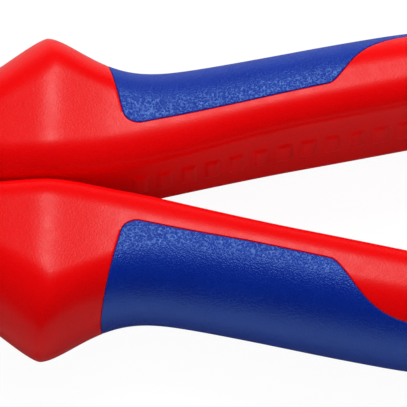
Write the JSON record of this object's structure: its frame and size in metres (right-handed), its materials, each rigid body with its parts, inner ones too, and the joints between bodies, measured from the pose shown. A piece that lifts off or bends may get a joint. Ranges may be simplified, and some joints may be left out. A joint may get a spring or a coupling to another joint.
{
  "type": "cable cutter",
  "caption": "Cable cutter with two crossed crescent blades on one adjustable pivot and two-colour grips with finger guards; the handles open and close.",
  "frame": {"origin": "on the pivot axis, at the face of the pivot nut on which the tool lies", "axes": "+X from the pivot towards the handles, +Y towards the upper handle (the handle of the rear half), +Z along the pivot axis towards the bolt's head"},
  "size_m": [0.1646, 0.0666, 0.0186],
  "materials": {
    "forged_steel": "dark burnished forging with bright ground bevels",
    "pivot_steel": "turned and zinc plated",
    "washer_steel": "plated spring steel",
    "core_plastic": "hard moulded core, hidden",
    "shell_plastic": "fine-grained moulded red",
    "soft_plastic": "coarse-grained soft blue"
  },
  "bodies": {
    "front_half": {"front_blade": "forged_steel", "pivot_bolt": "pivot_steel", "front_washer": "washer_steel", "rear_washer": "washer_steel", "locking_washer": "washer_steel", "pivot_nut": "pivot_steel", "lower_grip_core": "core_plastic", "lower_grip_shell": "shell_plastic", "lower_soft_zone": "soft_plastic"},
    "rear_half": {"rear_blade": "forged_steel", "upper_grip_core": "core_plastic", "upper_grip_shell": "shell_plastic", "upper_soft_zone": "soft_plastic"}
  },
  "joints": [
    {"name": "handles_open", "type": "hinge", "parent": "front_half", "child": "rear_half", "pos_m": [0, 0, 0.0093], "axis": [0, 0, 1], "range_deg": [0, 32]}
  ]
}
